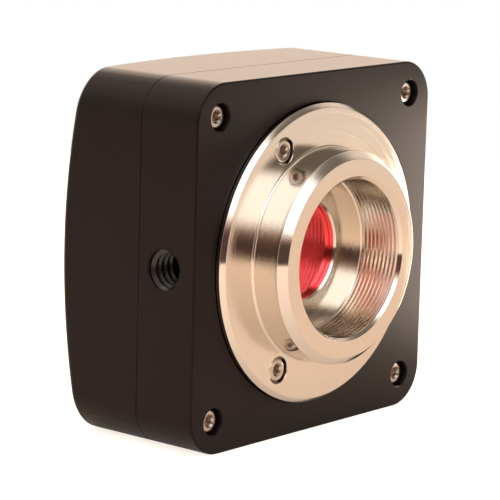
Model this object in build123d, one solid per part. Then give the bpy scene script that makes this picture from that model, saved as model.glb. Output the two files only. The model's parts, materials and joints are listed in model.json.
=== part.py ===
from build123d import *
import math
import os

# Sizes in millimetres. Y is the optical axis and the lens side faces -Y, with Z up.
# The origin lies on that axis, in the plane of the housing's front face.

# Housing: two milled halves that meet at a seam
body_width = 58.0
body_height = 58.0
corner_radius = 6.5
seam_depth = 11.4
back_arch_radius = 120.0
side_wall = 2.6
front_wall = 4.0
cover_wall = 2.4
front_edge_radius = 0.3
seam_edge_break = 0.2
back_edge_radius = 1.0
cavity_corner_radius = 1.5
seam_lip_width = 1.0
seam_lip_height = 1.0
fit = 0.1

# Small screws, shared by every screwed joint
thread_radius = 1.0
thread_fit = 0.02
clearance_radius = 1.2
socket_head_radius = 1.9
socket_head_height = 2.0
socket_head_break = 0.3
hex_across_flats = 1.5
hex_depth = 1.0
tapped_spare = 1.0

# Corner screws that hold the halves together
housing_screw_inset = 5.3
housing_screw_length = 14.0
housing_screw_recess = 0.9
housing_counterbore_radius = 2.15
corner_post_radius = 4.2

# Lens mount: flange, boss and bore, turned in one piece
flange_screw_margin = 4.0
flange_proud = 1.45
flange_recess = 1.5
flange_gap = 0.15
flange_edge_break = 0.7
boss_radius = 17.1
boss_screw_margin = 3.0
boss_shoulder_proud = 6.35
mount_reach = 7.6
seat_outer_radius = 15.9
lens_thread_radius = 12.7
lens_mouth_break = 0.5
lens_thread_end = 0.4
lens_bore_radius = 12.2
lens_stop_depth = 10.0
light_path_radius = 8.2
light_path_break = 0.3
filter_lip = 1.2
spigot_radius = 15.0
spigot_depth = 6.0
flange_focal_distance = 17.526

# Flange screws
mount_screw_count = 3
mount_screw_length = 4.0
mount_screw_recess = 0.2
mount_counterbore_radius = 2.2

# Filter behind the lip, and the gasket and ring that hold it there
filter_radius = 10.5
filter_thickness = 1.0
gasket_thickness = 0.5
gasket_inner_radius = 9.1
retaining_ring_radius = 11.2
retaining_ring_bore_radius = 9.3
spanner_slot_width = 1.2
spanner_slot_depth = 0.6

# Tripod thread in the side
tripod_radius = 3.175
tripod_depth = 6.0
tripod_mouth_break = 0.1
tripod_y = 6.25
tripod_pad_half_height = 5.6
tripod_pad_floor = 1.2

# Image sensor
die_width = 7.7
die_height = 6.1
die_thickness = 0.4
package_size = 12.8
package_base = 0.5
package_height = 1.8
package_window_width = 9.4
package_window_height = 8.4
package_pin_one_break = 0.8
cover_glass_size = 11.4
cover_glass_thickness = 0.5
dust_seal_inner_radius = 9.4
dust_seal_outer_radius = 13.0

# Circuit boards
board_margin = 9.0
board_thickness = 1.6
board_corner_radius = 2.0
board_hole_inset = 3.0
board_post_radius = 2.3
board_hole_radius = 1.15
spacer_length = 5.0
spacer_across_flats = 4.0
spacer_stud_length = 4.5
spacer_socket_depth = 3.1
board_screw_head_radius = 1.9
board_screw_head_height = 1.3
board_screw_length = 4.0

# Board-to-board connector, between the two lower spacers
link_spacer_gap = 3.0
link_height = 5.0
link_wall = 1.5
link_base = 1.8
link_tongue_gap = 0.15
link_rise = 3.0

# Upright data socket in the back
port_width = 12.0
port_height = 11.0
port_length = 11.0
port_sheet = 0.35
port_mouth_width = 8.5
port_mouth_height = 7.8
port_mouth_bevel = 1.6
port_cavity_depth = 8.9
port_relief = 1.4
port_relief_margin = 2.2
port_relief_corner = 2.0
port_gap = 0.2
tongue_width = 5.6
tongue_height = 3.2
tongue_setback = 1.0
contact_width = 1.0
contact_thickness = 0.25
contact_length = 6.0
contact_spacing = 2.5
port_leg_width = 2.0
port_leg_spare = 0.8
port_leg_gap = 0.15

# Parts on the interface board: width, height and thickness, then how far the middle
# lies from the board's centre along x and z, as shares of the board's half width and height
controller_chip = (7.0, 7.0, 0.9, -0.66, 0.2)
memory_chip = (7.5, 10.0, 1.1, 0.66, 0.2)
flash_chip = (5.0, 6.0, 1.6, -0.625, -0.45)
crystal_can = (5.0, 3.2, 1.0, -0.175, -0.5)
inductor_block = (6.0, 6.0, 3.0, 0.625, -0.45)
capacitor_block = (2.8, 3.5, 1.9, 0.0, 0.65)
capacitor_count = 4
capacitor_pitch = 4.2
regulator_block = (2.9, 1.8, 1.1, 0.125, -0.7)
regulator_count = 2
regulator_pitch = 4.6
crystal_corner_radius = 0.8
inductor_corner_break = 1.0
marker_radius = 0.4
marker_depth = 0.15
marker_inset = 1.0

# Places that follow from the sizes
half_width = body_width / 2
half_height = body_height / 2
seat_y = -mount_reach
stop_y = seat_y + lens_stop_depth
lip_back_y = stop_y + filter_lip
filter_back_y = lip_back_y + filter_thickness
gasket_back_y = filter_back_y + gasket_thickness
sensor_y = seat_y + flange_focal_distance
package_back_y = sensor_y + die_thickness + package_base
package_front_y = package_back_y - package_height
sensor_board_front_y = package_back_y
sensor_board_back_y = sensor_board_front_y + board_thickness
interface_front_y = sensor_board_back_y + spacer_length
interface_back_y = interface_front_y + board_thickness
port_face_y = interface_back_y + port_length
body_depth = port_face_y + port_relief
mount_screw_circle_radius = boss_radius + boss_screw_margin
flange_radius = mount_screw_circle_radius + flange_screw_margin
board_width = body_width - 2 * board_margin
board_height = body_height - 2 * board_margin
board_hole_x = board_width / 2 - board_hole_inset
board_hole_z = board_height / 2 - board_hole_inset
spacer_corner_radius = spacer_across_flats / math.sqrt(3)
link_width = 2 * (board_hole_x - spacer_corner_radius - link_spacer_gap)
link_z = -board_hole_z + link_rise
inner_width = body_width - 2 * side_wall
inner_height = body_height - 2 * side_wall
screw_x = half_width - housing_screw_inset
screw_z = half_height - housing_screw_inset
housing_seat_y = housing_screw_recess + socket_head_height
housing_tip_y = housing_seat_y + housing_screw_length
mount_seat_y = -flange_proud + mount_screw_recess + socket_head_height
mount_tip_y = mount_seat_y + mount_screw_length


def depth_plane(y):
    # Plane across the optical axis, its local x and y along X and Z
    return Plane(origin=(0, y, 0), x_dir=(1, 0, 0), z_dir=(0, -1, 0))


def prism(outline, y_front, y_back):
    return extrude(depth_plane(y_back) * outline, amount=y_back - y_front)


def turned(points):
    # Solid turned about the optical axis from (radius, y) points
    return revolve(make_face(Polyline(*points, close=True)), Axis.Y)


def rod(radius, y_front, y_back):
    return prism(Circle(radius), y_front, y_back)


def tube(outer_radius, inner_radius, y_front, y_back):
    return prism(Circle(outer_radius) - Circle(inner_radius), y_front, y_back)


def corners(x, z):
    return [(-x, -z), (x, -z), (x, z), (-x, z)]


def copies(solid, places):
    return [Pos(x, 0, z) * solid for x, z in places]


def mount_screw_places():
    step = 2 * math.pi / mount_screw_count
    angles = [step * index for index in range(mount_screw_count)]
    radius = mount_screw_circle_radius
    return [(radius * math.cos(angle), radius * math.sin(angle)) for angle in angles]


housing_screw_places = corners(screw_x, screw_z)
board_screw_places = corners(board_hole_x, board_hole_z)


def body_outline():
    return RectangleRounded(body_width, body_height, corner_radius)


def cavity_outline():
    # Inner square less four corner posts, each rounded where it faces the middle
    outline = Rectangle(inner_width, inner_height)
    post_side = 2 * (housing_screw_inset + corner_post_radius)
    post = RectangleRounded(post_side, post_side, corner_post_radius)
    for x, z in corners(half_width, half_height):
        outline -= Pos(x, z) * post
    on_wall = [
        corner
        for corner in outline.vertices()
        if abs(corner.X) > inner_width / 2 - 0.01 or abs(corner.Y) > inner_height / 2 - 0.01
    ]
    return fillet(on_wall, cavity_corner_radius)


def arch(radius):
    # Ball whose crown is the arched back, or the face inside it for a smaller radius
    return Pos(0, body_depth - back_arch_radius, 0) * Sphere(radius)


def socket_screw(head_top_y, length):
    seat = head_top_y + socket_head_height
    tip = seat + length
    screw = turned(
        [
            (0, head_top_y),
            (socket_head_radius - socket_head_break, head_top_y),
            (socket_head_radius, head_top_y + socket_head_break),
            (socket_head_radius, seat),
            (thread_radius, seat),
            (thread_radius, tip),
            (0, tip),
        ]
    )
    hexagon = RegularPolygon(hex_across_flats / 2, 6, major_radius=False)
    return screw - prism(hexagon, head_top_y, head_top_y + hex_depth)


def tripod_tool():
    # Blind hole with a bevelled mouth, turned about its own axis and set into the side
    depths = [
        (-half_width, 0),
        (-half_width, tripod_radius + tripod_mouth_break),
        (-half_width + tripod_mouth_break, tripod_radius),
        (-half_width + tripod_depth, tripod_radius),
        (-half_width + tripod_depth, 0),
    ]
    return Pos(0, tripod_y, 0) * revolve(make_face(Polyline(*depths, close=True)), Axis.X)


def make_front_housing():
    blank = prism(body_outline(), 0, seam_depth)
    blank = fillet(blank.faces().sort_by(Axis.Y)[0].edges(), front_edge_radius)
    blank = chamfer(blank.faces().sort_by(Axis.Y)[-1].edges(), seam_edge_break)

    pad_back = seam_depth - seam_lip_height - fit
    pad_reach = tripod_depth + tripod_pad_floor
    pad = Pos(-half_width + pad_reach / 2, 0) * Rectangle(pad_reach, 2 * tripod_pad_half_height)
    pocket = prism(cavity_outline(), front_wall, seam_depth)
    pocket -= prism(pad, front_wall, pad_back)
    post = rod(board_post_radius, front_wall, sensor_board_front_y)
    pocket -= copies(post, board_screw_places)

    housing = blank - pocket
    lip_slot = offset(cavity_outline(), seam_lip_width + fit)
    housing -= prism(lip_slot, pad_back, seam_depth) - pocket - copies(post, board_screw_places)
    housing -= rod(flange_radius + flange_gap, 0, flange_recess)
    housing -= rod(spigot_radius + fit, flange_recess, front_wall)
    housing -= tripod_tool()

    counterbore = rod(housing_counterbore_radius, 0, housing_seat_y)
    passage = rod(clearance_radius, housing_seat_y, seam_depth)
    housing -= copies(counterbore + passage, housing_screw_places)
    mount_tap = rod(thread_radius + thread_fit, flange_recess, mount_tip_y + tapped_spare)
    housing -= copies(mount_tap, mount_screw_places())
    post_tap_depth = spacer_stud_length + tapped_spare
    post_tap = rod(
        thread_radius + thread_fit, sensor_board_front_y - post_tap_depth, sensor_board_front_y
    )
    housing -= copies(post_tap, board_screw_places)
    return housing


def make_rear_cover():
    blank = prism(body_outline(), seam_depth, body_depth)
    blank = chamfer(blank.faces().sort_by(Axis.Y)[0].edges(), seam_edge_break)
    shell = blank & arch(back_arch_radius)
    crown = shell.faces().filter_by(GeomType.SPHERE)[0]
    shell = fillet(crown.edges(), back_edge_radius)

    hollow = prism(cavity_outline(), seam_depth, body_depth) & arch(back_arch_radius - cover_wall)
    shell -= hollow
    lip = offset(cavity_outline(), seam_lip_width) - cavity_outline()
    shell += prism(lip, seam_depth - seam_lip_height, seam_depth)

    tap = rod(thread_radius + thread_fit, seam_depth, housing_tip_y + tapped_spare)
    shell -= copies(tap, housing_screw_places)
    window = Rectangle(port_width + 2 * port_gap, port_height + 2 * port_gap)
    shell -= prism(window, seam_depth, body_depth)
    relief = RectangleRounded(
        port_width + 2 * port_relief_margin,
        port_height + 2 * port_relief_margin,
        port_relief_corner,
    )
    return shell - prism(relief, port_face_y, body_depth)


def make_lens_mount():
    filter_bore = filter_radius + fit
    ring_bore = retaining_ring_radius + fit
    mount = turned(
        [
            (light_path_radius, stop_y + light_path_break),
            (light_path_radius + light_path_break, stop_y),
            (lens_bore_radius, stop_y),
            (lens_bore_radius, lens_thread_end),
            (lens_thread_radius, lens_thread_end),
            (lens_thread_radius, seat_y + lens_mouth_break),
            (lens_thread_radius + lens_mouth_break, seat_y),
            (seat_outer_radius, seat_y),
            (boss_radius, -boss_shoulder_proud),
            (boss_radius, -flange_proud),
            (flange_radius - flange_edge_break, -flange_proud),
            (flange_radius, -flange_proud + flange_edge_break),
            (flange_radius, flange_recess),
            (spigot_radius, flange_recess),
            (spigot_radius, spigot_depth),
            (ring_bore, spigot_depth),
            (ring_bore, filter_back_y),
            (filter_bore, filter_back_y),
            (filter_bore, lip_back_y),
            (light_path_radius, lip_back_y),
        ]
    )
    counterbore = rod(mount_counterbore_radius, -flange_proud, mount_seat_y)
    passage = rod(clearance_radius, mount_seat_y, flange_recess)
    return mount - copies(counterbore + passage, mount_screw_places())


def make_retaining_ring():
    ring = tube(retaining_ring_radius, retaining_ring_bore_radius, gasket_back_y, spigot_depth)
    slot = Rectangle(2 * retaining_ring_radius, spanner_slot_width)
    return ring - prism(slot, spigot_depth - spanner_slot_depth, spigot_depth)


def make_sensor_package():
    outline = Rectangle(package_size, package_size)
    pin_one = outline.vertices().sort_by(Axis.X)[:2].sort_by(Axis.Y)[-1]
    package = prism(chamfer(pin_one, package_pin_one_break), package_front_y, package_back_y)
    window = Rectangle(package_window_width, package_window_height)
    return package - prism(window, package_front_y, sensor_y + die_thickness)


def board_blank(y_front):
    outline = RectangleRounded(board_width, board_height, board_corner_radius)
    for x, z in board_screw_places:
        outline -= Pos(x, z) * Circle(board_hole_radius)
    return prism(outline, y_front, y_front + board_thickness)


def make_spacer():
    # Hexagonal bar with a threaded stud in front and a threaded socket behind
    hexagon = RegularPolygon(spacer_across_flats / 2, 6, major_radius=False)
    spacer = prism(hexagon, sensor_board_back_y, interface_front_y)
    spacer += rod(thread_radius, sensor_board_front_y - spacer_stud_length, sensor_board_back_y)
    socket_front = interface_front_y - spacer_socket_depth
    return spacer - rod(thread_radius + thread_fit, socket_front, interface_front_y)


def make_board_screw():
    head_back = interface_back_y + board_screw_head_height
    screw = rod(board_screw_head_radius, interface_back_y, head_back)
    screw += rod(thread_radius, interface_back_y - board_screw_length, interface_back_y)
    hexagon = RegularPolygon(hex_across_flats / 2, 6, major_radius=False)
    return screw - prism(hexagon, head_back - hex_depth, head_back)


def make_link_plug():
    # Base on the sensor board, with the tongue that carries the contacts
    base_back = sensor_board_back_y + link_base
    plug = prism(Rectangle(link_width, link_height), sensor_board_back_y, base_back)
    inset = 2 * (link_wall + link_tongue_gap)
    tongue = Rectangle(link_width - inset, link_height - inset)
    plug += prism(tongue, base_back, interface_front_y - link_base / 2 - link_tongue_gap)
    return Pos(0, 0, link_z) * plug


def make_link_socket():
    base_back = sensor_board_back_y + link_base
    socket = prism(Rectangle(link_width, link_height), base_back, interface_front_y)
    trough = Rectangle(link_width - 2 * link_wall, link_height - 2 * link_wall)
    socket -= prism(trough, base_back, interface_front_y - link_base / 2)
    return Pos(0, 0, link_z) * socket


def port_mouth():
    mouth = Rectangle(port_mouth_width, port_mouth_height)
    upper = mouth.vertices().sort_by(Axis.Y)[-2:]
    return chamfer(upper, port_mouth_bevel)


def port_leg_places():
    return [(side * (port_width - port_sheet) / 2, 0) for side in (-1, 1)]


def make_port_shell():
    outer = Rectangle(port_width, port_height)
    inner = Rectangle(port_width - 2 * port_sheet, port_height - 2 * port_sheet)
    shell = prism(outer, interface_back_y, port_face_y)
    shell -= prism(inner, interface_back_y, port_face_y - port_sheet)
    shell -= prism(port_mouth(), port_face_y - port_sheet, port_face_y)
    leg = prism(
        Rectangle(port_sheet, port_leg_width), interface_front_y - port_leg_spare, interface_back_y
    )
    return shell + copies(leg, port_leg_places())


def make_port_insulator():
    inner = Rectangle(port_width - 2 * port_sheet, port_height - 2 * port_sheet)
    front = port_face_y - port_sheet
    floor = front - port_cavity_depth
    block = prism(inner, interface_back_y, front) - prism(port_mouth(), floor, front)
    return block + prism(Rectangle(tongue_width, tongue_height), floor, front - tongue_setback)


def make_port_contacts():
    end = port_face_y - port_sheet - tongue_setback
    strip = prism(Rectangle(contact_width, contact_thickness), end - contact_length, end)
    z = (tongue_height + contact_thickness) / 2
    return Compound(copies(strip, corners(contact_spacing / 2, z)))


def make_interface_board():
    board = board_blank(interface_front_y)
    slot = Rectangle(port_sheet + 2 * port_leg_gap, port_leg_width + 2 * port_leg_gap)
    return board - copies(prism(slot, interface_front_y, interface_back_y), port_leg_places())


def on_board(size, solid):
    width_share, height_share = size[3:]
    return Pos(width_share * board_width / 2, 0, height_share * board_height / 2) * solid


def block(size):
    width, height, thickness = size[:3]
    return prism(Rectangle(width, height), interface_back_y, interface_back_y + thickness)


def make_chip(size):
    # Moulded body with a round marker dimple beside its first contact
    width, height, thickness = size[:3]
    top = interface_back_y + thickness
    marker = rod(marker_radius, top - marker_depth, top)
    place = Pos(-width / 2 + marker_inset, 0, height / 2 - marker_inset)
    return on_board(size, block(size) - place * marker)


def make_row(size, count, pitch):
    steps = [pitch * (index - (count - 1) / 2) for index in range(count)]
    return Compound([on_board(size, Pos(step, 0, 0) * block(size)) for step in steps])


def make_crystal():
    can = block(crystal_can)
    return on_board(crystal_can, fillet(can.edges().filter_by(Axis.Y), crystal_corner_radius))


def make_inductor():
    core = block(inductor_block)
    return on_board(inductor_block, chamfer(core.edges().filter_by(Axis.Y), inductor_corner_break))


cover_glass = Rectangle(cover_glass_size, cover_glass_size)
die = Rectangle(die_width, die_height)
mount_screw = socket_screw(-flange_proud + mount_screw_recess, mount_screw_length)
housing_screw = socket_screw(housing_screw_recess, housing_screw_length)

nodes = {
    "front_housing": make_front_housing(),
    "rear_cover": make_rear_cover(),
    "lens_mount": make_lens_mount(),
    "mount_screws": Compound(copies(mount_screw, mount_screw_places())),
    "housing_screws": Compound(copies(housing_screw, housing_screw_places)),
    "filter_glass": rod(filter_radius, lip_back_y, filter_back_y),
    "filter_gasket": tube(filter_radius, gasket_inner_radius, filter_back_y, gasket_back_y),
    "filter_retaining_ring": make_retaining_ring(),
    "sensor_dust_seal": tube(
        dust_seal_outer_radius, dust_seal_inner_radius, spigot_depth, sensor_board_front_y
    ),
    "sensor_package": make_sensor_package(),
    "sensor_die": prism(die, sensor_y, sensor_y + die_thickness),
    "sensor_cover_glass": prism(
        cover_glass, package_front_y - cover_glass_thickness, package_front_y
    ),
    "sensor_board": board_blank(sensor_board_front_y),
    "board_spacers": Compound(copies(make_spacer(), board_screw_places)),
    "board_connector_plug": make_link_plug(),
    "board_connector_socket": make_link_socket(),
    "interface_board": make_interface_board(),
    "board_screws": Compound(copies(make_board_screw(), board_screw_places)),
    "controller_chip": make_chip(controller_chip),
    "memory_chip": make_chip(memory_chip),
    "flash_chip": make_chip(flash_chip),
    "crystal": make_crystal(),
    "power_inductor": make_inductor(),
    "tantalum_capacitors": make_row(capacitor_block, capacitor_count, capacitor_pitch),
    "regulators": make_row(regulator_block, regulator_count, regulator_pitch),
    "usb_port_shell": make_port_shell(),
    "usb_port_insulator": make_port_insulator(),
    "usb_port_contacts": make_port_contacts(),
}

os.makedirs("parts", exist_ok=True)
for name, shape in nodes.items():
    shape.label = name
    export_step(shape, f"parts/{name}.step")
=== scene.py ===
import json
import math

import bmesh
import bpy
import numpy as np
from mathutils import Matrix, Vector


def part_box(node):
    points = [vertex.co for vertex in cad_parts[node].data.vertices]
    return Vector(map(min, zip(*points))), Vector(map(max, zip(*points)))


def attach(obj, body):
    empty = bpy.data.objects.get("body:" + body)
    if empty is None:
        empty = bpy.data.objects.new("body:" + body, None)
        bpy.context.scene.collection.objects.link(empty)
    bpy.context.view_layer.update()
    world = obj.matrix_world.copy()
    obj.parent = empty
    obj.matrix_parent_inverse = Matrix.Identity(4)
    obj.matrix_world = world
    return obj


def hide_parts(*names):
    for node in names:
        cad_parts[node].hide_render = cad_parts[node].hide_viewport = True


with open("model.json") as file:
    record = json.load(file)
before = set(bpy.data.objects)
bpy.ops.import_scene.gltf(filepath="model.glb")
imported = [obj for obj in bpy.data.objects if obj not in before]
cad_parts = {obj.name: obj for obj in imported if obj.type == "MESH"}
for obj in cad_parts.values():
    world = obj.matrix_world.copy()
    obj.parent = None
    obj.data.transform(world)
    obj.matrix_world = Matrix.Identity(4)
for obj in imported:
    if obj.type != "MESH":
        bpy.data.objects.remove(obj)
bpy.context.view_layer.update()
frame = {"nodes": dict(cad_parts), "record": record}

mm = 0.001
fullTurn = 2 * math.pi
mounts = {mount["name"]: mount for mount in frame["record"]["mounts"]}
print("frame loaded")


def boxOf(node):
    low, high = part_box(node)
    return np.array(low) / mm, np.array(high) / mm


# Places that the solids settle, in millimetres
housingLow, housingHigh = boxOf("front_housing")
coverHigh = boxOf("rear_cover")[1]
mountLow, mountHigh = boxOf("lens_mount")
filterLow, filterHigh = boxOf("filter_glass")
portHigh = boxOf("usb_port_shell")[1]
halfSide = housingHigh[0]
seamY = housingHigh[1]
seatY = mountLow[1]
floorZ = housingLow[2]
lensRadius = mounts["c_mount_thread"]["dims"]["r_mm"]
tripodRadius = mounts["tripod_thread"]["dims"]["r_mm"]
tripodY = mounts["tripod_thread"]["pos_m"][1] / mm


# Shader maths

class Value:
    # One output socket; the arithmetic written on it adds Math nodes
    def __init__(self, finish, socket):
        self.finish = finish
        self.socket = socket

    def math(self, operation, *values):
        return self.finish.node("ShaderNodeMath", {"operation": operation}, dict(enumerate(values)))

    def __add__(self, other):
        return self.math("ADD", self, other)

    def __radd__(self, other):
        return self.math("ADD", other, self)

    def __sub__(self, other):
        return self.math("SUBTRACT", self, other)

    def __rsub__(self, other):
        return self.math("SUBTRACT", other, self)

    def __mul__(self, other):
        return self.math("MULTIPLY", self, other)

    def __rmul__(self, other):
        return self.math("MULTIPLY", other, self)

    def __pow__(self, other):
        return self.math("POWER", self, other)

    def __rpow__(self, other):
        return self.math("POWER", other, self)


class Finish:
    # One node tree, with a method that adds any node to it
    def __init__(self, tree):
        self.tree = tree
        tree.nodes.clear()

    def node(self, kind, settings=None, inputs=None, output=0):
        made = self.tree.nodes.new(kind)
        for key, value in (settings or {}).items():
            setattr(made, key, value)
        for key, value in (inputs or {}).items():
            if isinstance(value, Value):
                self.tree.links.new(value.socket, made.inputs[key])
            else:
                made.inputs[key].default_value = value
        return Value(self, made.outputs[output]) if made.outputs else None

    def axes(self, vector):
        return [self.node("ShaderNodeSeparateXYZ", None, {0: vector}, axis) for axis in range(3)]

    def place(self):
        return self.node("ShaderNodeTexCoord", None, None, "Object")

    def vector(self, x, y, z):
        return self.node("ShaderNodeCombineXYZ", None, {0: x, 1: y, 2: z})

    def noise(self, vector, scale=1.0, detail=2.0):
        inputs = {"Vector": vector, "Scale": scale, "Detail": detail, "Roughness": 0.5}
        return self.node("ShaderNodeTexNoise", None, inputs)

    def mix(self, share, first, second):
        # Colour between two colours
        settings = {"data_type": "RGBA", "clamp_factor": True}
        return self.node("ShaderNodeMix", settings, {0: share, 6: first, 7: second}, 2)

    def step(self, value, start, end):
        # 0 up to start, 1 from end on, and smooth between
        settings = {"interpolation_type": "SMOOTHSTEP"}
        inputs = {0: value, 1: start, 2: end, 3: 0.0, 4: 1.0}
        return self.node("ShaderNodeMapRange", settings, inputs)

    def within(self, value, low, high, soft):
        # 1 between two bounds, 0 outside, with soft edges
        above = self.step(value, high - soft, high + soft)
        return self.step(value, low - soft, low + soft) * (1 - above)

    def bump(self, height, distance):
        inputs = {"Strength": 1.0, "Distance": distance, "Height": height}
        return self.node("ShaderNodeBump", None, inputs)

    def surface(self, **inputs):
        sockets = {key.replace("_", " "): value for key, value in inputs.items()}
        shader = self.node("ShaderNodeBsdfPrincipled", None, sockets)
        self.node("ShaderNodeOutputMaterial", None, {"Surface": shader})


def colour(red, green, blue):
    return (red, green, blue, 1.0)


def newFinish(name):
    material = bpy.data.materials.new(name)
    material.use_nodes = True
    finish = Finish(material.node_tree)
    finish.material = material
    return finish


# Finishes: colours run from dark to light, and the roughness changes by its spread. Scales are in
# noise cells per metre, and depths in metres

anodised = {
    "dark": (0.0047, 0.0032, 0.0030),
    "light": (0.0070, 0.0049, 0.0046),
    "tint": (1.0, 0.79, 0.75),
    "roughness": 0.31,
    "spread": 0.1,
    "grain": 5200.0,
    "cloud": 90.0,
    "depth": 0.0000035,
    "ior": 1.26,
}


def makeAnodised():
    # Fine blasted grain under a black anodised coat, with faint clouds in its colour
    finish = newFinish("blackAnodised")
    place = finish.place()
    grain = finish.noise(place, anodised["grain"], 2.0)
    cloud = finish.noise(place, anodised["cloud"], 3.0)
    finish.surface(
        Base_Color=finish.mix(cloud, colour(*anodised["dark"]), colour(*anodised["light"])),
        Roughness=anodised["roughness"] + anodised["spread"] * grain,
        Normal=finish.bump(grain, anodised["depth"]),
        IOR=anodised["ior"],
        Specular_Tint=colour(*anodised["tint"]),
    )
    return finish.material


steel = {
    "dark": (0.71, 0.635, 0.555),
    "light": (0.76, 0.685, 0.60),
    "roughness": 0.06,
    "spread": 0.04,
    "groove": 60000,
    "band": 900,
    "depth": 0.0000045,
}


def makeTurnedSteel():
    # Tool marks run round the axis, so every pattern reads only the radius and the depth
    finish = newFinish("turnedSteel")
    x, y, z = finish.axes(finish.place())
    radius = (x * x + z * z) ** 0.5
    groove = finish.noise(finish.vector(radius * steel["groove"], y * steel["groove"], 0.0))
    band = finish.noise(finish.vector(radius * steel["band"], y * steel["band"], 3.0), 1.0, 3.0)
    finish.surface(
        Base_Color=finish.mix(band, colour(*steel["dark"]), colour(*steel["light"])),
        Metallic=1.0,
        Roughness=steel["roughness"] + steel["spread"] * band,
        Normal=finish.bump(groove, steel["depth"]),
    )
    return finish.material


screwSteel = {
    "dark": (0.46, 0.39, 0.34),
    "light": (0.68, 0.59, 0.52),
    "roughness": 0.2,
    "spread": 0.16,
    "mark": 2600.0,
    "depth": 0.000004,
}


def makeScrewSteel():
    finish = newFinish("screwSteel")
    mark = finish.noise(finish.place(), screwSteel["mark"], 3.0)
    finish.surface(
        Base_Color=finish.mix(mark, colour(*screwSteel["dark"]), colour(*screwSteel["light"])),
        Metallic=1.0,
        Roughness=screwSteel["roughness"] + screwSteel["spread"] * mark,
        Normal=finish.bump(mark, screwSteel["depth"]),
    )
    return finish.material


filterCoat = {
    "dark": (1.0, 0.095, 0.12),
    "light": (1.0, 0.12, 0.155),
    "roughness": 0.09,
    "spread": 0.03,
    "haze": 240.0,
}


def makeFilterCoat():
    # Mirror coat that throws back red
    finish = newFinish("redMirrorCoat")
    haze = finish.noise(finish.place(), filterCoat["haze"], 3.0)
    finish.surface(
        Base_Color=finish.mix(haze, colour(*filterCoat["dark"]), colour(*filterCoat["light"])),
        Metallic=1.0,
        Roughness=filterCoat["roughness"] + filterCoat["spread"] * haze,
    )
    return finish.material


plainFinishes = {
    "threadCoat": {
        "dark": (0.011, 0.009, 0.0085),
        "light": (0.02, 0.016, 0.015),
        "scale": 5200.0,
        "roughness": 0.26,
    },
    "blackRubber": {
        "dark": (0.012, 0.012, 0.012),
        "light": (0.022, 0.021, 0.02),
        "scale": 1800.0,
        "roughness": 0.75,
    },
    "blackRing": {
        "dark": (0.012, 0.011, 0.011),
        "light": (0.02, 0.019, 0.018),
        "scale": 2600.0,
        "roughness": 0.4,
        "metallic": 0.6,
    },
    "firedCeramic": {
        "dark": (0.075, 0.06, 0.07),
        "light": (0.11, 0.09, 0.1),
        "scale": 3200.0,
        "roughness": 0.55,
    },
    "silicon": {
        "dark": (0.09, 0.075, 0.13),
        "light": (0.14, 0.11, 0.19),
        "scale": 400.0,
        "roughness": 0.15,
        "metallic": 0.6,
        "depth": 0.000001,
    },
    "chipPlastic": {
        "dark": (0.014, 0.014, 0.015),
        "light": (0.03, 0.03, 0.032),
        "scale": 4200.0,
        "roughness": 0.5,
    },
    "nickelPlate": {
        "dark": (0.5, 0.49, 0.47),
        "light": (0.7, 0.69, 0.66),
        "scale": 1900.0,
        "roughness": 0.26,
        "metallic": 1.0,
    },
    "pressedFerrite": {
        "dark": (0.035, 0.035, 0.036),
        "light": (0.075, 0.075, 0.074),
        "scale": 3600.0,
        "roughness": 0.6,
    },
    "yellowCapacitor": {
        "dark": (0.62, 0.36, 0.05),
        "light": (0.76, 0.48, 0.08),
        "scale": 2400.0,
        "roughness": 0.45,
    },
    "spacerBrass": {
        "dark": (0.62, 0.46, 0.2),
        "light": (0.78, 0.6, 0.3),
        "scale": 1700.0,
        "roughness": 0.28,
        "metallic": 1.0,
    },
    "contactGold": {
        "dark": (0.8, 0.55, 0.2),
        "light": (0.9, 0.68, 0.3),
        "scale": 1500.0,
        "roughness": 0.22,
        "metallic": 1.0,
    },
    "socketPlastic": {
        "dark": (0.012, 0.012, 0.013),
        "light": (0.026, 0.026, 0.027),
        "scale": 3000.0,
        "roughness": 0.42,
    },
    "coverGlass": {
        "dark": (0.85, 0.9, 0.9),
        "light": (0.92, 0.96, 0.96),
        "scale": 300.0,
        "roughness": 0.08,
        "depth": 0.0000005,
        "clear": 0.9,
    },
}


def makePlain(name, dark, light, scale, roughness, metallic=0.0, depth=0.000004, clear=0.0):
    # Finish with a fine mottle: one noise drives the colour, the roughness and the relief
    finish = newFinish(name)
    mottle = finish.noise(finish.place(), scale, 3.0)
    finish.surface(
        Base_Color=finish.mix(mottle, colour(*dark), colour(*light)),
        Metallic=metallic,
        Roughness=roughness - 0.06 + 0.12 * mottle,
        Normal=finish.bump(mottle, depth),
        Transmission_Weight=clear,
    )
    return finish.material


board = {
    "mask": (0.006, 0.055, 0.022),
    "track": (0.02, 0.13, 0.055),
    "fine": 900,
    "stretched": 160,
    "across": (0.46, 0.5, 0.01),
    "along": (0.52, 0.56, 0.01),
    "roughness": 0.3,
    "spread": 0.15,
    "depth": 0.00002,
}


def makeBoardFinish():
    # Green mask over copper tracks: a track shows where a stretched noise is near its middle
    finish = newFinish("circuitBoard")
    x, y, z = finish.axes(finish.place())
    fine, stretched = board["fine"], board["stretched"]
    across = finish.noise(finish.vector(x * fine, y * fine, z * stretched), 1.0, 1.0)
    along = finish.noise(finish.vector(x * stretched, y * fine, z * fine), 1.0, 1.0)
    track = finish.within(across, *board["across"]) + finish.within(along, *board["along"])
    finish.surface(
        Base_Color=finish.mix(track, colour(*board["mask"]), colour(*board["track"])),
        Roughness=board["roughness"] + board["spread"] * track,
        Normal=finish.bump(track, board["depth"]),
    )
    return finish.material


anodisedFinish = makeAnodised()
steelFinish = makeTurnedSteel()
screwFinish = makeScrewSteel()
filterFinish = makeFilterCoat()
boardFinish = makeBoardFinish()
plain = {name: makePlain(name, **look) for name, look in plainFinishes.items()}
print("finishes made")


# Surfaces: each is a grid of points or a closed profile, worked out as whole arrays

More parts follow.
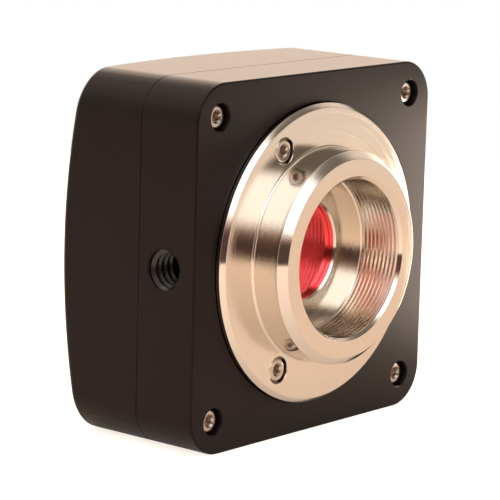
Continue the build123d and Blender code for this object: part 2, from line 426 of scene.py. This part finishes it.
def gridFaces(rows, columns, wrapRows, wrapColumns):
    # Quads between neighbouring points of a grid, going round at an edge that wraps
    index = np.arange(rows * columns).reshape(rows, columns)
    if wrapColumns:
        index = np.concatenate([index, index[:, :1]], axis=1)
    if wrapRows:
        index = np.concatenate([index, index[:1]], axis=0)
    corners = [index[:-1, :-1], index[:-1, 1:], index[1:, 1:], index[1:, :-1]]
    return np.stack(corners, axis=-1).reshape(-1, 4).tolist()


def makePiece(name, points, faces):
    # Points in millimetres; doubles are merged and the faces turned outwards
    mesh = bpy.data.meshes.new(name)
    mesh.from_pydata((points.reshape(-1, 3) * mm).tolist(), [], faces)
    shape = bmesh.new()
    shape.from_mesh(mesh)
    bmesh.ops.remove_doubles(shape, verts=shape.verts, dist=0.000001)
    bmesh.ops.recalc_face_normals(shape, faces=shape.faces)
    shape.to_mesh(mesh)
    shape.free()
    piece = bpy.data.objects.new(name, mesh)
    bpy.context.scene.collection.objects.link(piece)
    return piece


def setAt(piece, x, z):
    # The place goes into the mesh, so the object itself stays at the origin
    piece.data.transform(Matrix.Translation((x * mm, 0, z * mm)))
    return piece


def turnedPiece(name, profile, steps=128):
    # Closed profile of (radius, depth) points, turned about the lens axis: row i, column j is the
    # profile's point i at angle j
    profile = np.asarray(profile, float)
    angle = np.linspace(0, fullTurn, steps, endpoint=False)
    radius = np.broadcast_to(profile[:, :1], (len(profile), steps))
    depth = np.broadcast_to(profile[:, 1:], (len(profile), steps))
    points = np.stack([radius * np.cos(angle), depth, radius * np.sin(angle)], axis=-1)
    return makePiece(name, points, gridFaces(len(profile), steps, True, True))


def stackedPiece(name, loops):
    # Closed loops of points, one beyond the other, joined into a wall with both ends closed
    points = np.asarray(loops, float)
    rows, columns = points.shape[:2]
    last = (rows - 1) * columns
    ends = [list(range(columns))[::-1], list(range(last, last + columns))]
    return makePiece(name, points, gridFaces(rows, columns, False, True) + ends)


def roundedOutline(corners, radii, steps=10):
    # Each corner gives way to an arc that touches both of its sides: the arc's centre lies on the
    # corner's bisector, and its points turn evenly from one touching point to the other
    corners = np.asarray(corners, float)
    radii = np.asarray(radii, float)[:, None]
    back = np.roll(corners, 1, axis=0) - corners
    ahead = np.roll(corners, -1, axis=0) - corners
    back /= np.linalg.norm(back, axis=1, keepdims=True)
    ahead /= np.linalg.norm(ahead, axis=1, keepdims=True)
    middle = back + ahead
    middle /= np.linalg.norm(middle, axis=1, keepdims=True)
    half = np.arccos(np.clip((back * middle).sum(axis=1, keepdims=True), -1, 1))
    centre = corners + middle * radii / np.sin(half)
    first = corners + back * radii / np.tan(half) - centre
    final = corners + ahead * radii / np.tan(half) - centre
    sweep = (math.pi - 2 * half)[:, :, None]
    share = np.linspace(0, 1, steps + 1)[None, :, None]
    leaving = np.sin((1 - share) * sweep) * first[:, None]
    coming = np.sin(share * sweep) * final[:, None]
    arc = (leaving + coming) / np.sin(sweep)
    return (centre[:, None] + arc).reshape(-1, 2)


def boxOutline(halfWidth, halfHeight, radius, steps=10):
    signs = np.array([(1, 1), (-1, 1), (-1, -1), (1, -1)])
    return roundedOutline(signs * (halfWidth, halfHeight), [radius] * 4, steps)


def squareOutline(half, radius, steps=10):
    return boxOutline(half, half, radius, steps)


def dividedOutline(outline, spacing):
    # Extra points along the straight sides, no further apart than the spacing
    closed = np.concatenate([outline, outline[:1]])
    along = np.concatenate([[0], np.cumsum(np.linalg.norm(np.diff(closed, axis=0), axis=1))])
    places = np.unique(np.concatenate([along[:-1], np.arange(0, along[-1], spacing)]))
    return np.stack([np.interp(places, along, closed[:, axis]) for axis in (0, 1)], axis=-1)


def atDepth(outline, depth):
    # Outline in X and Z, set at one depth or at a depth of its own for each point
    return np.stack([outline[:, 0], np.broadcast_to(depth, len(outline)), outline[:, 1]], axis=-1)


def arcPoints(centre, radius, start, end, steps=6):
    # (radius, depth) points on an arc, its angles in degrees from the outward direction
    angle = np.radians(np.linspace(start, end, steps + 1))
    arc = [centre[0] + radius * np.cos(angle), centre[1] + radius * np.sin(angle)]
    return np.stack(arc, axis=-1).tolist()


def mergedPiece(pieces):
    # Several pieces become one; the first keeps its name
    shape = bmesh.new()
    for piece in pieces:
        shape.from_mesh(piece.data)
    shape.to_mesh(pieces[0].data)
    shape.free()
    for piece in pieces[1:]:
        bpy.data.objects.remove(piece)
    return pieces[0]


def combine(piece, tool, operation="DIFFERENCE"):
    # Takes the tool's volume out of the piece, or adds it, and removes the tool
    modifier = piece.modifiers.new("combine", "BOOLEAN")
    modifier.operation = operation
    modifier.solver = "EXACT"
    modifier.object = tool
    shown = piece.evaluated_get(bpy.context.evaluated_depsgraph_get())
    combined = bpy.data.meshes.new_from_object(shown)
    piece.modifiers.clear()
    piece.data = combined
    bpy.data.objects.remove(tool)


def finishPiece(piece, material, nodes=(), angle=32):
    # Smooth shading that breaks at sharp edges, the finish, and the solids that it stands for
    piece.data.name = piece.name
    piece.data.materials.clear()
    piece.data.materials.append(material)
    piece.data.shade_smooth()
    piece.data.set_sharp_from_angle(angle=math.radians(angle))
    even = piece.modifiers.new("even", "WEIGHTED_NORMAL")
    even.keep_sharp = True
    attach(piece, "root")
    if nodes:
        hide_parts(*nodes)
    print(piece.name, len(piece.data.polygons), "faces")
    return piece


# Sizes, in millimetres

front = {
    "cornerRadius": 6.5,
    "edgeRound": 0.3,
    "seamBreak": 0.1,
    "wall": 2.6,
    "faceWall": 4.0,
    "postReach": 9.5,
    "postRound": 4.2,
    "cavityRound": 1.5,
    "flangeGap": 0.15,
    "spigotGap": 0.1,
    "screwInset": 5.3,
    "screwRecess": 0.9,
    "counterbore": 2.15,
    "counterboreBreak": 0.12,
    "tripodDepth": 6.0,
    "tripodPoint": 0.8,
    "tripodBreak": 0.22,
    "padReach": 7.2,
    "padHalfHeight": 5.6,
    "padRound": 0.5,
    "padSink": 0.5,
    "padBack": 1.1,
}
flange = {
    "back": 1.5,
    "front": -1.45,
    "edge": 0.7,
    "spigot": 15.0,
    "boss": 17.1,
    "bossFillet": 0.45,
    "shoulder": -6.35,
    "seatOuter": 15.9,
    "mouthBreak": 0.5,
    "threadEnd": 0.4,
    "bore": 12.4,
    "stop": 2.4,
    "lightPath": 8.2,
    "lightPathBreak": 0.3,
    "lipBreak": 0.12,
    "filterBore": 10.6,
    "ringBore": 11.3,
    "screwCircle": 20.1,
    "screwCount": 3,
    "screwRecess": 0.2,
    "counterbore": 2.2,
    "holeEnd": 3.0,
    "fine": 0.05,
}
screw = {
    "head": 1.9,
    "headHeight": 2.0,
    "round": 0.42,
    "apothem": 0.82,
    "depth": 1.4,
    "point": 0.3,
    "cone": 1.1,
    "mouth": 0.35,
    "shank": 1.0,
    "hole": 1.2,
}
cover = {
    "archRadius": 120.0,
    "edgeRound": 1.0,
    "wall": 2.4,
    "rings": 20,
    "hollowRings": 8,
    "leastRing": 0.02,
    "spacing": 1.6,
    "relief": (8.2, 7.7),
    "reliefRound": 2.0,
    "windowRound": 0.15,
    "windowFront": 3.0,
    "gap": 0.2,
}

# A ridge's height and sink are in millimetres, its fade and begin in turns, and its foot and crest
# are half widths in pitches
lensThread = {
    "pitch": 25.4 / 32,
    "height": 0.13,
    "sink": 0.05,
    "foot": 0.48,
    "crest": 0.06,
    "start": 0.06,
    "stop": 0.1,
    "begin": 0.5,
    "fade": 0.3,
    "steps": 160,
}
tripodThread = {
    "pitch": 25.4 / 20,
    "height": 0.6,
    "sink": 0.05,
    "foot": 7 / 16,
    "crest": 1 / 8,
    "start": 0.6,
    "stop": 0.5,
    "begin": 0.0,
    "fade": 0.35,
    "steps": 72,
}


# Front housing

screwPlace = halfSide - front["screwInset"]
housingPlaces = [
    (-screwPlace, -screwPlace),
    (screwPlace, -screwPlace),
    (screwPlace, screwPlace),
    (-screwPlace, screwPlace),
]


def cavityOutline():
    # Inner square less the four corner posts, whose own corners are round
    inner = halfSide - front["wall"]
    post = halfSide - front["postReach"]
    quarter = np.array([(inner, post), (post, post), (post, inner)])
    turns = [((1, 0), (0, 1)), ((0, -1), (1, 0)), ((-1, 0), (0, -1)), ((0, 1), (-1, 0))]
    corners = np.concatenate([quarter @ np.array(turn).T for turn in turns])
    radii = [front["cavityRound"], front["postRound"], front["cavityRound"]] * 4
    return roundedOutline(corners, radii, 8)


def carveScrewHoles(piece, places, radius, lip, face, seat, end, steps):
    # From the face inwards: a bevelled mouth, the counterbore and its seat, and the shank's hole
    profile = [
        (0, face - 1),
        (radius + lip, face - 1),
        (radius + lip, face),
        (radius, face + lip),
        (radius, seat),
        (screw["hole"], seat),
        (screw["hole"], end),
        (0, end),
    ]
    tools = [setAt(turnedPiece("counterbore", profile, steps), x, z) for x, z in places]
    combine(piece, mergedPiece(tools))


def tripodFrame():
    # Turns the lens axis into the tripod hole's, which runs inwards from the side
    turn = Matrix(((0, 1, 0), (-1, 0, 0), (0, 0, 1))).to_4x4()
    return Matrix.Translation((-halfSide * mm, tripodY * mm, 0)) @ turn


def makeTripodPad():
    # Boss round the tripod thread, cut off inside the side wall
    outline = boxOutline(front["padReach"], front["padHalfHeight"], front["padRound"])
    outline[:, 0] = np.maximum(outline[:, 0] - halfSide, -halfSide + front["wall"] / 2)
    depths = (front["faceWall"] - front["padSink"], seamY - front["padBack"])
    return stackedPiece("pad", [atDepth(outline, depth) for depth in depths])


def makeFrontHousing():
    # The outline shrinks along a quarter round at the face and along a small bevel at the seam
    turn = np.linspace(0, math.pi / 2, 7)
    insets = list(front["edgeRound"] * (1 - np.sin(turn))) + [0.0, front["seamBreak"]]
    depths = list(front["edgeRound"] * (1 - np.cos(turn))) + [seamY - front["seamBreak"], seamY]
    loops = [
        atDepth(squareOutline(halfSide - inset, front["cornerRadius"] - inset, 16), depth)
        for inset, depth in zip(insets, depths)
    ]
    housing = stackedPiece("front_housing_body", loops)

    outline = cavityOutline()
    cavity = [atDepth(outline, front["faceWall"]), atDepth(outline, seamY + 1)]
    combine(housing, stackedPiece("cavity", cavity))
    recess = [
        (0, -1),
        (mountHigh[0] + front["flangeGap"], -1),
        (mountHigh[0] + front["flangeGap"], flange["back"]),
        (flange["spigot"] + front["spigotGap"], flange["back"]),
        (flange["spigot"] + front["spigotGap"], front["faceWall"] + 1),
        (0, front["faceWall"] + 1),
    ]
    combine(housing, turnedPiece("recess", recess, steps=192))
    seat = front["screwRecess"] + screw["headHeight"]
    radius, lip = front["counterbore"], front["counterboreBreak"]
    carveScrewHoles(housing, housingPlaces, radius, lip, 0, seat, seamY + 1, steps=48)

    combine(housing, makeTripodPad(), "UNION")
    lip = front["tripodBreak"]
    hole = [
        (0, -1),
        (tripodRadius + lip, -1),
        (tripodRadius + lip, 0),
        (tripodRadius, lip),
        (tripodRadius, front["tripodDepth"]),
        (0, front["tripodDepth"] + front["tripodPoint"]),
    ]
    tool = turnedPiece("tripod", hole, steps=96)
    tool.data.transform(tripodFrame())
    combine(housing, tool)
    return finishPiece(housing, anodisedFinish, ["front_housing"])


# Lens mount

def mountPlaces():
    angle = np.arange(flange["screwCount"]) * fullTurn / flange["screwCount"]
    return np.stack([np.cos(angle), np.sin(angle)], axis=-1) * flange["screwCircle"]


def makeLensMount():
    # Profile of (radius, depth) points from the light path over the stop, the thread, the seat, the
    # boss and the flange to the back, and through the filter's bore to the light path again. A
    # turned edge is broken by a fine step, which is shorter both ways on a bevel
    fine = flange["fine"]
    slant = fine * 0.7
    outer = mountHigh[0]
    fillet = flange["bossFillet"]
    wallY = flange["front"]
    threadCone = (lensRadius - flange["bore"]) * math.tan(math.pi / 6)
    profile = [
        (flange["lightPath"], flange["stop"] + flange["lightPathBreak"]),
        (flange["lightPath"] + flange["lightPathBreak"], flange["stop"]),
        (flange["bore"], flange["stop"]),
        (flange["bore"], flange["threadEnd"]),
        (lensRadius, flange["threadEnd"] - threadCone),
        (lensRadius, seatY + flange["mouthBreak"]),
        (lensRadius + flange["mouthBreak"], seatY),
        (flange["seatOuter"] - fine, seatY),
        (flange["seatOuter"] + slant, seatY + slant),
        (flange["boss"] - slant, flange["shoulder"] - slant),
        (flange["boss"], flange["shoulder"] + fine),
    ]
    profile += arcPoints((flange["boss"] + fillet, wallY - fillet), fillet, 180, 90)
    profile += [
        (outer - flange["edge"] - fine, wallY),
        (outer - flange["edge"] + slant, wallY + slant),
        (outer - slant, wallY + flange["edge"] - slant),
        (outer, wallY + flange["edge"] + fine),
        (outer, flange["back"]),
        (flange["spigot"], flange["back"]),
        (flange["spigot"], mountHigh[1]),
        (flange["ringBore"], mountHigh[1]),
        (flange["ringBore"], filterHigh[1]),
        (flange["filterBore"], filterHigh[1]),
        (flange["filterBore"], filterLow[1]),
        (flange["lightPath"] + flange["lipBreak"], filterLow[1]),
        (flange["lightPath"], filterLow[1] - flange["lipBreak"]),
    ]
    mount = turnedPiece("lens_mount_body", profile, steps=256)
    seat = wallY + flange["screwRecess"] + screw["headHeight"]
    radius, end = flange["counterbore"], flange["holeEnd"]
    carveScrewHoles(mount, mountPlaces(), radius, fine, wallY, seat, end, steps=64)
    return finishPiece(mount, steelFinish, ["lens_mount"])


# Threads: a ridge of one cross-section that winds along the hole

def threadGrid(radius, length, thread):
    # Row i goes round by a fixed angle and on by its share of the pitch. Column j is a corner of
    # the ridge: a foot, two on the crest, a foot, and two sunk in the wall behind the feet. The
    # ridge rises and dies away over a part turn, and ends where the wall starts
    pitch, foot, crest = thread["pitch"], thread["foot"], thread["crest"]
    turns = (length - thread["start"] - thread["stop"]) / pitch
    turn = np.linspace(0, turns, int(turns * thread["steps"]) + 1)[:, None]
    fade = np.clip(np.minimum(turn, turns - turn) / thread["fade"], 0, 1)
    along = np.array([-foot, -crest, crest, foot, foot, -foot])[None]
    rise = np.array([0, 1, 1, 0, 0, 0])[None] * fade * thread["height"]
    sunk = np.array([0, 0, 0, 0, 1, 1])[None] * thread["sink"]
    reach = radius - rise + sunk
    angle = fullTurn * (thread["begin"] - turn)
    depth = np.maximum(thread["start"] + pitch * (turn + along), 0)
    return np.stack([reach * np.cos(angle), depth, reach * np.sin(angle)], axis=-1)


def makeLensThread():
    start = seatY + flange["mouthBreak"]
    points = threadGrid(lensRadius, flange["threadEnd"] - start, lensThread)
    points[..., 1] += start
    thread = stackedPiece("lens_thread", points)
    return finishPiece(thread, steelFinish, angle=20)


def makeTripodThread():
    points = threadGrid(tripodRadius, front["tripodDepth"], tripodThread)
    thread = stackedPiece("tripod_thread", points)
    thread.data.transform(tripodFrame())
    return finishPiece(thread, plain["threadCoat"], angle=20)


# Screws

def screwGrid(top, tip, steps=72):
    # Rows run from the middle of the socket's floor over the head's face and side to the shank's
    # tip. A socket row is a hexagon: its radius is the apothem over the cosine of the angle from
    # the middle of the nearest flat
    angle = np.linspace(0, fullTurn, steps, endpoint=False)
    hexagon = screw["apothem"] / np.cos((angle + math.pi / 6) % (math.pi / 3) - math.pi / 6)
    circle = np.ones(steps)
    side = screw["head"] - screw["round"]
    seat = top + screw["headHeight"]
    rows = [
        (0 * circle, top + screw["depth"] + screw["point"]),
        (hexagon, top + screw["depth"]),
        (hexagon, top + screw["mouth"]),
        (screw["cone"] * circle, top),
    ]
    for turn in np.linspace(math.pi / 2, 0, 6):
        radius = side + screw["round"] * math.cos(turn)
        rows.append((radius * circle, top + screw["round"] * (1 - math.sin(turn))))
    rows += [
        (screw["head"] * circle, seat),
        (screw["shank"] * circle, seat),
        (screw["shank"] * circle, tip),
        (0 * circle, tip),
    ]
    radius = np.array([row[0] for row in rows])
    depth = np.array([row[1] * circle for row in rows])
    return np.stack([radius * np.cos(angle), depth, radius * np.sin(angle)], axis=-1)


def makeScrews(name, places, nodeName):
    low, high = boxOf(nodeName)
    points = screwGrid(low[1], high[1])
    faces = gridFaces(*points.shape[:2], False, True)
    pieces = [setAt(makePiece(name, points, faces), x, z) for x, z in places]
    return finishPiece(mergedPiece(pieces), screwFinish, [nodeName])


# Rear cover

# The arch's crown, which the relief round the port takes away
reliefDrop = cover["archRadius"] - math.sqrt(cover["archRadius"] ** 2 - cover["relief"][1] ** 2)
backY = coverHigh[1] + reliefDrop


def archDepth(outline, radius):
    # Depth of a ball's surface behind each point; the ball's crown is the middle of the back
    return backY - cover["archRadius"] + np.sqrt(radius**2 - (outline**2).sum(axis=1))


def archRings(outline, radius, count):
    # Copies of an outline that shrink towards the middle of the back, all on the arch
    shares = np.linspace(1, cover["leastRing"], count)[1:]
    return [atDepth(outline * share, archDepth(outline * share, radius)) for share in shares]


def makeRearCover():
    # Wall, then a quarter round, then rings that shrink to the crown, all on the arch
    edge, seam = cover["edgeRound"], front["seamBreak"]
    square = squareOutline(halfSide, front["cornerRadius"], steps=16)
    outer = dividedOutline(square, cover["spacing"])
    reach = np.abs(outer).max(axis=0)
    centre = np.clip(outer, front["cornerRadius"] - reach, reach - front["cornerRadius"])
    away = (outer - centre) / front["cornerRadius"]
    away /= np.maximum(np.linalg.norm(away, axis=1, keepdims=True), 1e-9)
    loops = [atDepth(outer - away * seam, seamY), atDepth(outer, seamY + seam)]
    for turn in np.linspace(0, math.pi / 2, 8):
        outline = outer - away * edge * (1 - math.cos(turn))
        depth = archDepth(outline, cover["archRadius"]) - edge * (1 - math.sin(turn))
        loops.append(atDepth(outline, depth))
    loops += archRings(outer - away * edge, cover["archRadius"], cover["rings"])
    shell = stackedPiece("rear_cover_body", loops)

    inner = cover["archRadius"] - cover["wall"]
    outline = dividedOutline(cavityOutline(), cover["spacing"])
    loops = [atDepth(outline, seamY - 1), atDepth(outline, archDepth(outline, inner))]
    combine(shell, stackedPiece("hollow", loops + archRings(outline, inner, cover["hollowRings"])))

    gap = cover["gap"]
    window = boxOutline(portHigh[0] + gap, portHigh[2] + gap, cover["windowRound"], steps=3)
    loops = [atDepth(window, seamY + cover["windowFront"]), atDepth(window, backY + 1)]
    combine(shell, stackedPiece("window", loops))
    relief = boxOutline(*cover["relief"], cover["reliefRound"], steps=8)
    loops = [atDepth(relief, portHigh[1]), atDepth(relief, backY + 1)]
    combine(shell, stackedPiece("relief", loops))
    return finishPiece(shell, anodisedFinish, ["rear_cover"])


makeFrontHousing()
makeRearCover()
makeLensMount()
makeLensThread()
makeTripodThread()
makeScrews("mount_screw_set", mountPlaces(), "mount_screws")
makeScrews("housing_screw_set", housingPlaces, "housing_screws")
print("outer pieces made")


# Solids that keep their shape and get a finish

nodeFinishes = {
    "filter_glass": filterFinish,
    "filter_gasket": plain["blackRubber"],
    "filter_retaining_ring": plain["blackRing"],
    "sensor_dust_seal": plain["blackRubber"],
    "sensor_package": plain["firedCeramic"],
    "sensor_die": plain["silicon"],
    "sensor_cover_glass": plain["coverGlass"],
    "sensor_board": boardFinish,
    "board_spacers": plain["spacerBrass"],
    "board_connector_plug": plain["chipPlastic"],
    "board_connector_socket": plain["chipPlastic"],
    "interface_board": boardFinish,
    "board_screws": screwFinish,
    "controller_chip": plain["chipPlastic"],
    "memory_chip": plain["chipPlastic"],
    "flash_chip": plain["chipPlastic"],
    "crystal": plain["nickelPlate"],
    "power_inductor": plain["pressedFerrite"],
    "tantalum_capacitors": plain["yellowCapacitor"],
    "regulators": plain["chipPlastic"],
    "usb_port_shell": plain["nickelPlate"],
    "usb_port_insulator": plain["socketPlastic"],
    "usb_port_contacts": plain["contactGold"],
}
for nodeName, material in nodeFinishes.items():
    for slot in frame["nodes"][nodeName].material_slots:
        slot.material = material
print("inner pieces finished")


# Studio: a floor, a sky of panels, a card and the camera. Lengths are in millimetres

floorPaper = {
    "radius": 300.0,
    "colour": (0.88, 0.74, 0.63),
    "glow": (1, 0.93, 0.87),
    "seen": 0.85,
    # Glow that only mirrored light sees is painted light on the floor: a little everywhere, and a
    # painted pool of light on the left
    "mirroredRight": 0.02,
    "mirroredMore": 0.36,
    "halfFade": 70.0,
}
cardPaper = {"x": 72, "front": -36, "back": 24, "top": 16, "level": 12.0}

# Parts of the sky: low, high and soft edge of each bearing and height, in degrees, and the level
skyParts = {
    "panel": {"bearing": (-152, -84, 6), "height": (12, 66, 1.5), "level": 2.2},
    "back": {"bearing": (12, 68, 8), "height": (-10, 32, 4), "level": 3.5},
    "crown": {"bearing": (84, 150, 8), "height": (25, 68, 6), "level": 1.7},
    "dusk": {"bearing": (-78, -14, 8), "height": (9, 62, 5), "level": 0.22},
}
skyGap = {
    "bearing": (-165, -98, 8),
    "bottom": (-20, -19),
    "top": 14.5,
    "topSoft": (-3, 9),
    "slopeFrom": -130,
    "slope": 0.65,
    "level": 0.11,
}
skyColours = {
    "room": (1.0, 0.86, 0.74),
    "panel": (0.93, 0.97, 1.0),
    "back": (1.0, 0.79, 0.63),
    "gap": (1.0, 0.62, 0.5),
}


def makeFloor():
    # It glows almost white for the camera, and for mirrored light it glows more on the left
    angle = np.linspace(0, fullTurn, 96, endpoint=False)
    ring = np.stack([np.cos(angle), np.sin(angle), np.zeros(96)], axis=-1) * floorPaper["radius"]
    ring[:, 2] = floorZ
    floor = makePiece("floor", ring, [list(range(96))])
    finish = newFinish("floorPaper")
    seen = finish.node("ShaderNodeLightPath", None, None, "Is Camera Ray")
    mirrored = finish.node("ShaderNodeLightPath", None, None, "Is Glossy Ray")
    x, y, z = finish.axes(finish.place())
    fade = floorPaper["halfFade"] * mm
    # Painted pool of the panel's light on the floor's left, seen only in reflections
    left = finish.step(x, fade, -fade)
    level = floorPaper["mirroredRight"] + floorPaper["mirroredMore"] * left
    strength = seen * floorPaper["seen"] + mirrored * level
    glowing = {"Color": colour(*floorPaper["glow"]), "Strength": strength}
    paper = finish.node("ShaderNodeBsdfDiffuse", None, {"Color": colour(*floorPaper["colour"])})
    glow = finish.node("ShaderNodeEmission", None, glowing)
    both = finish.node("ShaderNodeAddShader", None, {0: paper, 1: glow})
    finish.node("ShaderNodeOutputMaterial", None, {"Surface": both})
    floor.data.materials.append(finish.material)


def makeSky():
    # The camera sees white. All else sees a bright panel on the left above, a dim part of the room
    # on the right above, two lighter parts behind, and a dark gap between the floor and the panel
    world = bpy.data.worlds.new("studio")
    world.use_nodes = True
    bpy.context.scene.world = world
    sky = Finish(world.node_tree)
    x, y, z = sky.axes(sky.node("ShaderNodeTexCoord", None, None, "Generated"))
    degrees = 180 / math.pi
    height = z.math("ARCSINE", z) * degrees
    bearing = y.math("ARCTAN2", y, x) * degrees
    level = 1
    share = {}
    for name, part in skyParts.items():
        share[name] = sky.within(bearing, *part["bearing"]) * sky.within(height, *part["height"])
        if part["level"] > 1:
            level = level + share[name] * (part["level"] - 1)

    beyond = skyGap["slopeFrom"] - bearing
    gapTop = beyond.math("MAXIMUM", beyond, 0.0) * skyGap["slope"] + skyGap["top"]
    below, above = skyGap["topSoft"]
    over = sky.step(height, gapTop + below, gapTop + above)
    gap = sky.within(bearing, *skyGap["bearing"]) * (1 - over) * sky.step(height, *skyGap["bottom"])
    level = level * (1 - share["dusk"] * (1 - skyParts["dusk"]["level"]))
    level = level * (1 - gap * (1 - skyGap["level"]))

    tint = sky.mix(share["panel"], colour(*skyColours["room"]), colour(*skyColours["panel"]))
    tint = sky.mix(share["back"], tint, colour(*skyColours["back"]))
    tint = sky.mix(gap, tint, colour(*skyColours["gap"]))
    seen = sky.node("ShaderNodeLightPath", None, None, "Is Camera Ray")
    tint = sky.mix(seen, tint, colour(1, 1, 1))
    strength = seen + (1 - seen) * level
    light = sky.node("ShaderNodeBackground", None, {"Color": tint, "Strength": strength})
    sky.node("ShaderNodeOutputWorld", None, {"Surface": light})


def makeCard():
    # White card on the right, which only mirrored light sees: it brightens the edge of the face
    x, near, far, top = (cardPaper[key] for key in ("x", "front", "back", "top"))
    places = [(x, near, floorZ), (x, far, floorZ), (x, far, top), (x, near, top)]
    card = makePiece("card", np.array(places, float), [[0, 1, 2, 3]])
    finish = newFinish("cardPaper")
    glowing = {"Color": colour(*skyColours["room"]), "Strength": cardPaper["level"]}
    glow = finish.node("ShaderNodeEmission", None, glowing)
    finish.node("ShaderNodeOutputMaterial", None, {"Surface": glow})
    card.data.materials.append(finish.material)
    card.visible_camera = False
    card.visible_diffuse = False
    card.visible_shadow = False


# Position in metres, angles in degrees, lens and sensor in millimetres
viewpoint = {
    "position": (-0.3261707, -0.2601021, 0.0780550),
    "bearing": -50.0139,
    "height": 10.5863,
    "roll": 1.57040,
    "lens": 191.679,
    "sensor": 36,
}


def makeCamera():
    # Columns of its matrix: the camera's right, its up, and the way back from the object
    bearing, height, roll = (math.radians(viewpoint[key]) for key in ("bearing", "height", "roll"))
    flat = math.cos(height)
    back = np.array([math.sin(bearing) * flat, -math.cos(bearing) * flat, math.sin(height)])
    level = np.array([math.cos(bearing), math.sin(bearing), 0])
    upright = np.cross(back, level)
    right = math.cos(roll) * level + math.sin(roll) * upright
    up = math.cos(roll) * upright - math.sin(roll) * level
    pose = np.eye(4)
    pose[:3] = np.stack([right, up, back, viewpoint["position"]], axis=-1)
    data = bpy.data.cameras.new("camera")
    data.sensor_width = viewpoint["sensor"]
    data.lens = viewpoint["lens"]
    data.clip_start = 0.01
    data.clip_end = 20
    camera = bpy.data.objects.new("camera", data)
    camera.matrix_world = Matrix(pose.tolist())
    bpy.context.scene.collection.objects.link(camera)
    bpy.context.scene.camera = camera


makeFloor()
makeCard()
makeSky()
makeCamera()
bpy.context.scene.view_settings.view_transform = "Standard"
print("studio made")
